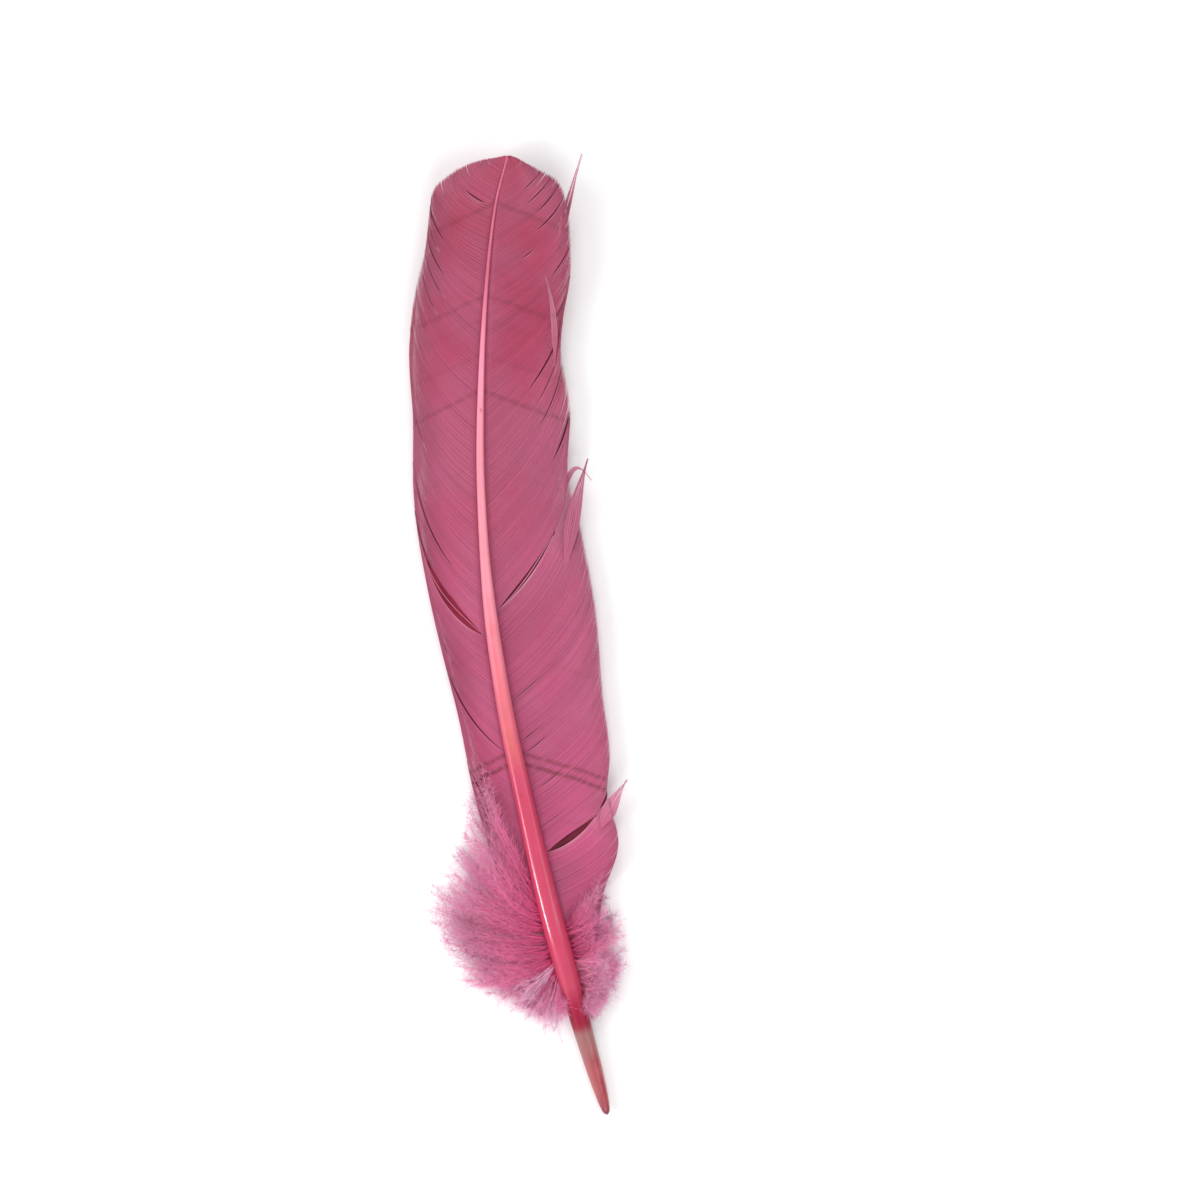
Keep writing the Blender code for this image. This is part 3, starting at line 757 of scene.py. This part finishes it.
def buildVane(name, side):
    # Each barb is a thin four-sided strip, two edges with a ridge above and a keel below, carried along its
    # curve. The curve is the vane's formula, with its root drawn to its bunch's middle near the edge and
    # pushed sideways from a split by a sine that fades away from it.
    chance = np.random.default_rng(feather["seed"] + side)
    rows = barbRows[side]
    first, last = rows[0][0], rows[-1][0]
    roots = np.arange(first, last, vane["pitch"])
    roots = roots + chance.uniform(-vane["pitchScatter"], vane["pitchScatter"], len(roots))
    middle, pull, longer = bunches(side, roots, chance)
    ragged = ramp(pull, 0.1, 0.5)
    start = vane["startsUnderQuill"] * smoothAt(quillWidths, 1, roots)
    start = np.minimum(start / np.maximum(smoothAt(rows, 1, roots), 1.0), vane["latestStart"])
    finish = 1 + vane["lengthScatter"] * chance.normal(0, 1, len(roots))
    finish = finish + vane["raggedScatter"] * ragged * longer
    share = np.linspace(0, 1, vane["steps"])
    along = start[:, None] + (finish - start)[:, None] * share[None, :] ** vane["stepPower"]
    gather = pull[:, None] * ramp(along, 0.55, 1.05)
    wander = vane["wander"] * ramp(along, 0.3, 1.0) * np.sin(along * 7 + (roots[:, None] * 0.9))
    drawn = roots[:, None] + (middle - roots)[:, None] * gather + wander
    path = vaneAt(side, np.clip(drawn, first, last), along)

    across, sheetUp, room = acrossBarbs(side, np.broadcast_to(roots[:, None], along.shape), along)

    # Splits push the barbs apart and step one side above the other. The barbs along a split get a painted
    # highlight.
    paintedHighlight = np.zeros(along.shape)
    for root, begin, end, gap, step in splits[side]:
        away = roots[:, None] - root
        fade = np.exp(-np.abs(away) / vane["splitDecay"]) * np.sign(away)
        inside = np.clip((along - begin) / (end - begin), 0, 1)
        opened = np.sin(np.pi * inside ** vane["gapeLeans"])
        path += across * (fade * 0.5 * gap * opened)[..., None]
        lift = step * vane["splitStep"] * np.exp(-np.abs(away) / vane["stepDecay"])
        lift = lift * ramp(along, begin, begin + 0.25)
        path[..., 2] += np.where(away > 0, lift, 0) * ramp(end - along, -0.3, 0.1)
        near = np.exp(-np.abs(away) / vane["highlightDecay"]) * (away < 0) * opened
        paintedHighlight = np.maximum(paintedHighlight, near * min(1.0, 0.08 + gap / 2))
        if gap > vane["flapGap"]:
            # Past a wide split the open flap gets a painted highlight too.
            flap = np.exp(-np.abs(away) / vane["flapDecay"]) * (away < 0) * ramp(along, 0.35, 0.7)
            paintedHighlight = np.maximum(paintedHighlight, vane["flapHighlight"] * flap)

    # Slow swells of the sheet, sines of the place along the feather, and a little life in bunches' heights.
    (high, run, lean), (fineHigh, fineRun, fineLean) = vane["swells"]
    swell = high * np.sin(path[..., 1] / run + lean * along)
    swell += fineHigh * np.sin(path[..., 1] / fineRun + fineLean * along + side)
    longer = longer[:, None]
    path[..., 2] += swell * ramp(along, 0.25, 0.8) + vane["bunchLift"] * longer * ramp(along, 0.5, 1.0)
    path[..., 2] += vane["raggedLift"] * ragged[:, None] * longer * ramp(along, 0.7, 1.0)

    # The barbs end in a point, and are thinner towards the edge and towards the feather's tip.
    taper = 1 - 0.8 * ramp(along / finish[:, None], 0.93, 1.0)
    half = np.clip(room * vane["overlap"], vane["thinnest"], vane["widest"]) * taper
    slim = taper * (1.05 - 0.45 * along) * (1 - 0.5 * ramp(roots, 235, 265))[:, None]
    tone = np.convolve(chance.uniform(0, 1, len(roots) + 2), [0.25, 0.5, 0.25], "valid")
    drawn = np.clip(drawn, first, last)
    strips = [(path, across, sheetUp, half, slim, drawn, along, tone, paintedHighlight, 0.0)]
    strips += [hiddenBarbs(side, split, chance) for split in splits[side]]
    strips += [looseBarb(*row[1:], side) for row in looseBarbs if row[0] == side]
    if side < 0:
        strips.append(tipFan(chance))
    points, faces, values = joinStrips(side, strips)
    piece = meshPiece(name, points, faces, values)
    dress(piece, "vane")
    return piece


buildVane("vaneLeft", -1)
buildVane("vaneRight", 1)


# The quill

quill = {
    "rings": 300,
    "ringPower": 1.12,          # above 1 the rings are closer together at the bare end
    "sides": 36,
    "grooveDepth": 0.20,
    "grooveWidth": 0.42,
    "grooveFrom": 40.0,
    "grooveFull": 110.0,
    "grooveShallow": (0.5, 200, 290),  # how much of its depth is lost, from where to where
    "endRound": 1.6,
    "stainLeans": -0.5,
    "stainWidth": 0.68,
    "stainTurns": (18, 32),
    "nickStrength": 0.8,
    "nickWidth": 0.3,
    # Distance up the quill, angle from its top, length along it: where the surface is nicked.
    "nicks": ((101.5, 0.35, 0.4), (93.3, 0.1, 0.3), (222.6, -0.2, 0.25), (160.0, -0.5, 0.3)),
}


def buildQuill():
    # A circle carried up the quill's axis, as wide as the table says. Along its top runs a shallow groove,
    # a bell curve cut from the radius, which fades out towards the bare end.
    share = np.linspace(0, 1, quill["rings"])
    y = feather["length"] * share ** quill["ringPower"]
    width = smoothAt(quillWidths, 1, y)
    # The lower end closes as a rounded dome.
    dome = np.clip(y / quill["endRound"], 0, 1)
    radius = width / 2 * np.sqrt(np.clip(1 - (1 - dome) ** 2, 0.01, 1))
    turn = 2 * np.pi * np.arange(quill["sides"]) / quill["sides"]
    leftOfTop = (turn - np.pi / 2 + np.pi) % (2 * np.pi) - np.pi
    lost, lessFrom, least = quill["grooveShallow"]
    depth = quill["grooveDepth"] * ramp(y, quill["grooveFrom"], quill["grooveFull"])
    depth = depth * (1 - lost * ramp(y, lessFrom, least))
    bell = np.exp(-(leftOfTop / quill["grooveWidth"]) ** 2)
    # The stain of the bare end lies right of the top, and the colour of the groove along the top.
    stainLeans = quill["stainLeans"] * (1 - ramp(y, *quill["stainTurns"]))
    core = np.exp(-((leftOfTop[None, :] - stainLeans[:, None]) / quill["stainWidth"]) ** 2)
    reach = radius[:, None] * (1 - depth[:, None] * bell[None, :])
    centre = np.stack([quillAside(y), y, quillHeight(y)], axis=-1)
    heading = unit(np.gradient(centre, axis=0))
    across = unit(np.cross(heading, skyward))
    up = np.cross(across, heading)
    points = (
        centre[:, None, :]
        + (reach * np.cos(turn))[..., None] * across[:, None, :]
        + (reach * np.sin(turn))[..., None] * up[:, None, :]
    )
    walls, caps = tubeFaces(1, quill["rings"], quill["sides"])
    nick = np.zeros(reach.shape)
    for at, angle, length in quill["nicks"]:
        upFrom = (y[:, None] - at) / length
        aside = (turn[None, :] - np.pi / 2 - angle) / quill["nickWidth"]
        nick += quill["nickStrength"] * np.exp(-(upFrom**2) - aside**2)
    values = {
        "up": np.broadcast_to((y / feather["length"])[:, None], reach.shape), "core": core, "nick": nick,
    }
    piece = meshPiece("quill", points.reshape(-1, 3), [walls, caps], values)
    dress(piece, "quill")
    return piece


buildQuill()


# The down

# Where a barb of down leaves the quill, how far aside it reaches, how far forward of its root it ends.
downRows = {
    "left": (
        (43, 4.5, -9.5), (44, 10.5, -12), (45, 16.5, -8), (46.2, 22, -4.5), (48.4, 29.3, -2.7),
        (50, 32.4, 1.4), (53, 36, 6.5), (56, 38.7, 10.3), (60, 33.5, 16.2), (64, 24, 26), (68, 17.0, 37),
        (75, 14.0, 35),
    ),
    "leftOver": (
        (43, 4.5, -9.5), (44.5, 13.5, -10), (46.2, 22, -4.5), (49, 31, -1), (53, 36, 6.5),
        (56, 38.7, 10.3), (60, 33.5, 16.2), (64, 24, 26), (66.5, 20, 31),
    ),
    "right": (
        (36, 5, -3), (39, 10, -2), (42, 15, 0), (46, 19, 2.5), (50, 20, 6.5), (55, 19, 10), (60, 17, 12),
    ),
    "rightOver": ((36, 5, -4), (40, 9, -3), (44, 13, -1), (49, 15, 1.5)),
    "pale": ((43.5, 6.5, -13), (45, 10, -15), (47, 14, -10.5), (49, 17, -6)),
}

down = {
    "barbSteps": 16,
    "barbRadius": 0.10,
    "barbSides": 4,
    "fibreRadius": 0.034,
    "fibreLength": 3.0,
    "fibreSteps": 3,
    "fibreSides": 3,
    "fibreDrift": 0.30,
    "lowest": 0.05,
    "barbsInClump": 3,
    "rootScatter": 0.3,
    "apart": 0.8,               # how far a clump's barbs stand from each other at the quill
    "forwardScatter": 1.3,
    "spreadByOutline": 0.5,
    "sitsIn": 0.85,             # how far out in the quill the barbs start, as a share of its radius
    "sag": 0.13,
    "wiggle": (0.9, 1.0, 0.7),
    "hook": (1.3, 2.3, 0.7),
    "paleHook": 0.7,            # how much less the pale barbs hook
    # Reach is a share of the rows' reach, heights are those of the tips, splay is in degrees.
    "tufts": (
        dict(name="downLeftUnder", rows="left", side=-1, barbs=120, fibres=104, reach=0.985,
             heights=(0.6, 4.0), splay=46, pale=0.0, thick=1.5, seed=3),
        dict(name="downLeftOver", rows="leftOver", side=-1, barbs=120, fibres=104, reach=0.95,
             heights=(3.0, 6.5), splay=40, pale=0.0, thick=1.0, seed=5),
        dict(name="downPale", rows="pale", side=-1, barbs=33, fibres=36, reach=1.0,
             heights=(4.5, 8.5), splay=12, pale=0.85, thick=1.15, seed=6),
        dict(name="downRight", rows="right", side=1, barbs=84, fibres=104, reach=0.95,
             heights=(0.8, 5.5), splay=46, pale=0.0, thick=1.2, seed=8),
        dict(name="downRightOver", rows="rightOver", side=1, barbs=40, fibres=90, reach=1.0,
             heights=(5.0, 7.5), splay=40, pale=0.35, thick=1.0, seed=9),
    ),
}


def downPath(barbs, t):
    # A cubic curve from the quill's side out to the tip. Sine wiggles and a hook grow towards the tip.
    t = t[..., None]
    keep = 1 - t
    start, lead, bend, end = (barbs[key][:, None, :] for key in ("start", "lead", "bend", "end"))
    point = keep**3 * start + 3 * keep**2 * t * lead + 3 * keep * t**2 * bend + t**3 * end
    phase, size = barbs["phase"][:, None, :], barbs["wiggle"][:, None, :]
    return point + size * t**1.3 * np.sin(phase + 7.0 * t) + barbs["hook"][:, None, :] * t**4


def vector(x, y, z):
    return np.stack(np.broadcast_arrays(x, y, z), axis=-1)


def downBarbs(tuft, chance):
    # Soft barbs in clumps. The barbs of a clump leave the quill apart and draw together towards their tips.
    rows, side, count = downRows[tuft["rows"]], tuft["side"], tuft["barbs"]
    first, last = rows[0][0], rows[-1][0]
    clumps = count // down["barbsInClump"]
    # The clumps stand as far apart along the tuft's outline as along the quill, in equal parts.
    fine = np.linspace(first, last, 200)
    outAside, outForward = (np.gradient(smoothAt(rows, column, fine), fine) for column in (1, 2))
    crowd = np.cumsum(1 + np.hypot(outAside, 1 + outForward) * down["spreadByOutline"])
    clumpRoot = np.interp(np.linspace(crowd[0], crowd[-1], clumps), crowd, fine)
    clumpRoot = clumpRoot + chance.normal(0, down["rootScatter"], clumps)
    which = np.arange(count) % clumps
    apart = chance.normal(0, down["apart"], count)
    root = np.clip(clumpRoot[which] + apart, first, last)
    reach = smoothAt(rows, 1, clumpRoot)[which] * tuft["reach"]
    reach = reach * chance.uniform(0.95, 1.04, clumps)[which] * chance.uniform(0.84, 1.04, count)
    forward = smoothAt(rows, 2, clumpRoot)[which] * tuft["reach"] - 0.8 * apart
    forward = forward + chance.normal(0, down["forwardScatter"], clumps)[which]
    forward = forward + chance.normal(0, down["forwardScatter"], count)
    height = np.clip(chance.uniform(0, 1, clumps)[which] + chance.normal(0, 0.15, count), 0, 1)
    lowest, highest = tuft["heights"]
    inside = smoothAt(quillWidths, 1, root) / 2 * down["sitsIn"]
    lean = chance.uniform(-0.9, 0.1, count)
    start = vector(
        quillAside(root) + side * inside * np.cos(lean), root, quillHeight(root) + inside * np.sin(lean),
    )
    halfway = (quillAside(root + forward) + quillAside(root)) / 2
    end = vector(halfway + side * reach, root + forward, lowest + (highest - lowest) * height)
    chord = end - start
    size = np.linalg.norm(chord[:, :2], axis=1)
    sag = down["sag"] * size * chance.normal(0.9, 0.6, count)
    rise = 1.2 + 0.6 * chance.normal(0, 1, count)
    lead = start + chord * 0.3 + vector(side * 0.05 * size, -sag, rise)
    rise = 1.0 + 0.8 * chance.normal(0, 1, count)
    bend = start + chord * 0.7 + vector(side * 0.04 * size, -0.7 * sag, rise)
    tame = 1 - down["paleHook"] * tuft["pale"]
    barbs = {
        "start": start, "lead": lead, "bend": bend, "end": end,
        "phase": chance.uniform(0, 2 * np.pi, (count, 3)),
        "wiggle": chance.uniform(0.3, 1.3, (count, 3)) * np.array(down["wiggle"]),
        "hook": chance.normal(0, 1, (count, 3)) * np.array(down["hook"]) * tame,
    }
    tone = 0.6 * chance.uniform(0, 1, clumps)[which] + 0.4 * chance.uniform(0, 1, count)
    return barbs, tone


def buildDown(tuft):
    # Every barb carries hair-thin fibres on all sides, each one leaning forward and bending with a parabola.
    chance = np.random.default_rng(tuft["seed"])
    barbs, tone = downBarbs(tuft, chance)
    count, fibres = tuft["barbs"], tuft["fibres"]
    t = np.broadcast_to(np.linspace(0, 1, down["barbSteps"]), (count, down["barbSteps"]))
    radii = down["barbRadius"] * tuft["thick"] * (1 - 0.8 * t)
    corners, faces = tubes(downPath(barbs, t), radii, down["barbSides"])
    pale = np.clip(tuft["pale"] * chance.uniform(0.6, 1.3, count), 0, 1)
    barbValues = {"out": t * 0.8, "tone": tone[:, None] + 0.15, "pale": pale[:, None]}

    at = np.sort(chance.uniform(0.03, 1.0, (count, fibres)) ** 0.85, axis=1)
    base = downPath(barbs, at)
    ahead = unit(downPath(barbs, at + 0.02) - base)
    aside = unit(np.cross(ahead, skyward) + 1e-6)
    above = np.cross(aside, ahead)
    spin = chance.choice([-1, 1], (count, fibres)) * (np.pi / 2 + chance.normal(0, 0.75, (count, fibres)))
    outward = aside * np.sin(spin)[..., None] + above * np.cos(spin)[..., None]
    splay = np.radians(tuft["splay"] * chance.normal(1.0, 0.3, (count, fibres)) * (1 + 0.6 * at**2))
    first = ahead * np.cos(splay)[..., None] + outward * np.sin(splay)[..., None]
    # The fibres are longest halfway out.
    long = down["fibreLength"] * (0.5 + 0.5 * np.sin(np.pi * at**0.8)) * chance.uniform(0.5, 1.3, at.shape)
    drift = ahead * down["fibreDrift"] + chance.normal(0, down["fibreDrift"], (count, fibres, 3))
    steps = np.linspace(0, 1, down["fibreSteps"])
    hair = (
        base[:, :, None, :]
        + (long[..., None] * steps)[..., None] * first[:, :, None, :]
        + (long[..., None] * steps**2)[..., None] * drift[:, :, None, :]
    ).reshape(-1, down["fibreSteps"], 3)
    thin = down["fibreRadius"] * tuft["thick"] * (1.2 - 0.85 * steps)[None, :] * np.ones((len(hair), 1))
    hairCorners, hairFaces = tubes(hair, thin, down["fibreSides"])
    hairValues = {
        "out": np.clip(at[..., None] * 0.75 + 0.25 * steps, 0, 1),
        "tone": (tone[:, None] + chance.normal(0, 0.12, at.shape))[..., None],
        "pale": pale[:, None, None],
    }
    values = {}
    for key, value in barbValues.items():
        onBarbs = np.repeat(np.broadcast_to(value, t.shape).ravel(), down["barbSides"])
        onHairs = np.broadcast_to(hairValues[key], at.shape + steps.shape).ravel()
        onHairs = np.repeat(onHairs, down["fibreSides"])
        values[key] = np.concatenate([onBarbs, onHairs])
    points = np.concatenate([corners, hairCorners])
    points[:, 2] = np.maximum(points[:, 2], down["lowest"])
    piece = meshPiece(tuft["name"], points, faces + [f + len(corners) for f in hairFaces], values)
    dress(piece, "down")
    return piece


for tuft in down["tufts"]:
    buildDown(tuft)


# Stray barbs past the edges of the vanes

wisp = {
    "seedStep": 7,
    "kneeRises": 0.6,
    "curl": 0.3,
    "rise": 0.5,
    "sunk": 0.2,
    "scatter": 0.12,
    "overlap": 0.58,            # half a barb's width, as a share of its part of the bundle
    "thinnest": 0.035,
    "slim": 0.8,
    "along": 0.6,
    "tones": (0.3, 0.8),
}

# Side, barb root, share where it leaves the vane, bend and end in the plan, the end's height, width, barbs in
# it, how strong its painted highlight is.
wisps = (
    (1, 254, 0.70, (16.8, 283.0), (23.0, 297.9), 13.0, 2.0, 7, 0.35),
    (1, 159, 0.84, (10.0, 207.5), (15.4, 197.0), 8.5, 1.1, 4, 0.6),
    (1, 146, 0.62, (9.6, 192.0), (15.2, 203.8), 9.5, 4.0, 12, 0.1),
    (1, 78, 0.64, (11.3, 97.0), (16.9, 103.4), 9.0, 4.2, 14, 0.8),
    (1, 204, 0.80, (10.4, 250.0), (7.9, 261.2), 11.5, 1.5, 6, 0.7),
)


def wispStrips(row, chance):
    # Barbs side by side along a quadratic curve from the vane past a bend to the stray end. The bundle keeps
    # its width at first, then closes to a point, and curls up a little at one side.
    side, root, leaves, bend, end, height, width, count, pale = row
    share = np.linspace(0, 1, vane["steps"])[:, None]
    start = vaneAt(side, np.array(float(root)), np.array(leaves))
    middle = np.array([*bend, (start[2] + height) / 2 + wisp["kneeRises"]])
    tip = np.array([*end, height])
    line = (1 - share) ** 2 * start + 2 * (1 - share) * share * middle + share**2 * tip
    heading = unit(np.gradient(line, axis=0))
    across = unit(np.cross(heading, skyward))
    sheetUp = np.cross(heading, across)
    share = share[:, 0]
    spread = (1 - ramp(share, 0.3, 1.0) ** 1.2) * ramp(share, -0.08, 0.35)
    place = np.linspace(-0.5, 0.5, count)[:, None]
    path = line[None] + across[None] * (place * width * spread)[..., None]
    path[..., 2] += wisp["curl"] * (place + 0.5) ** 2 * width * spread
    path[..., 2] += wisp["rise"] * ramp(share, 0.0, 0.3) - wisp["sunk"]
    path = path + chance.normal(0, wisp["scatter"], (count, 1, 3)) * share[None, :, None]
    half = (wisp["overlap"] * width / count * spread + wisp["thinnest"]) * np.ones((count, 1))
    along = np.broadcast_to(wisp["along"] + (1 - wisp["along"]) * share, half.shape)
    slim, roots = np.full(half.shape, wisp["slim"]), np.full(half.shape, float(root))
    tone = chance.uniform(*wisp["tones"], count)
    # A painted highlight that grows towards the stray end.
    paintedHighlight = np.broadcast_to(pale * share, half.shape)
    across, sheetUp = np.broadcast_to(across, path.shape), np.broadcast_to(sheetUp, path.shape)
    return path, across, sheetUp, half, slim, roots, along, tone, paintedHighlight, 0.0


def buildWisps():
    chance = np.random.default_rng(feather["seed"] + wisp["seedStep"])
    points, faces, values = joinStrips(-1, [wispStrips(row, chance) for row in wisps])
    piece = meshPiece("strayBarbs", points, faces, values)
    dress(piece, "vane")
    return piece


buildWisps()


# Floor, light and camera

stage = {
    "floor": (0.96, 0.96, 0.965),
    "floorHalf": 2.5,            # m
    "room": 0.5,                 # strength of the white light from all around
    "frameWidth": 374.5,         # mm across the picture at the feather
    "lens": 180.0,
    "middle": (14.3, 159.8),     # the picture's middle in the plan
    "lean": math.radians(5.93),  # the quill's chord leans this far left of upright
    "lights": (
        # name, place, length along the feather, width, power
        ("key", (-0.95, 0.25, 1.0), 0.8, 0.5, 4.0),
        ("ahead", (0.0, 1.7, 1.9), 1.0, 1.0, 16.0),
        ("behind", (0.0, -1.7, 1.9), 1.0, 1.0, 16.0),
        ("fill", (0.8, -0.3, 1.0), 0.9, 0.9, 4.0),
        ("glint", (-1.2, -0.28, 0.69), 0.20, 0.38, 7.0),
    ),
}


def buildStage():
    half = stage["floorHalf"]
    mesh = bpy.data.meshes.new("floor")
    corners = [(-half, -half, 0), (half, -half, 0), (half, half, 0), (-half, half, 0)]
    mesh.from_pydata(corners, [], [(0, 1, 2, 3)])
    floor = bpy.data.objects.new("floor", mesh)
    scene.collection.objects.link(floor)
    made, _, shader = newMaterial("paleFloor", 0.8, Specular_IOR_Level=0.1)
    shader.inputs["Base Color"].default_value = (*stage["floor"], 1.0)
    mesh.materials.append(made)

    world = bpy.data.worlds.new("softRoom")
    world.use_nodes = True
    background = world.node_tree.nodes["Background"]
    background.inputs["Color"].default_value = (1.0, 1.0, 1.0, 1.0)
    background.inputs["Strength"].default_value = stage["room"]
    scene.world = world

    for name, place, length, width, power in stage["lights"]:
        light = bpy.data.lights.new(name, "AREA")
        light.shape = "RECTANGLE"
        light.size, light.size_y = length, width
        light.energy = power
        lamp = bpy.data.objects.new(name, light)
        lamp.location = place
        lamp.rotation_euler = (-Vector(place)).to_track_quat("-Z", "Y").to_euler()
        lamp.visible_camera = False
        scene.collection.objects.link(lamp)

    camera = bpy.data.cameras.new("camera")
    camera.lens = stage["lens"]
    camera.sensor_width = 36.0
    middle = [(a + b) * mm for a, b in zip(stage["middle"], feather["planShift"])]
    height = stage["frameWidth"] * mm / camera.sensor_width * camera.lens
    eye = bpy.data.objects.new("camera", camera)
    eye.matrix_world = Matrix.Translation((*middle, height)) @ Matrix.Rotation(-stage["lean"], 4, "Z")
    scene.collection.objects.link(eye)
    scene.camera = eye


buildStage()
print("stage made")
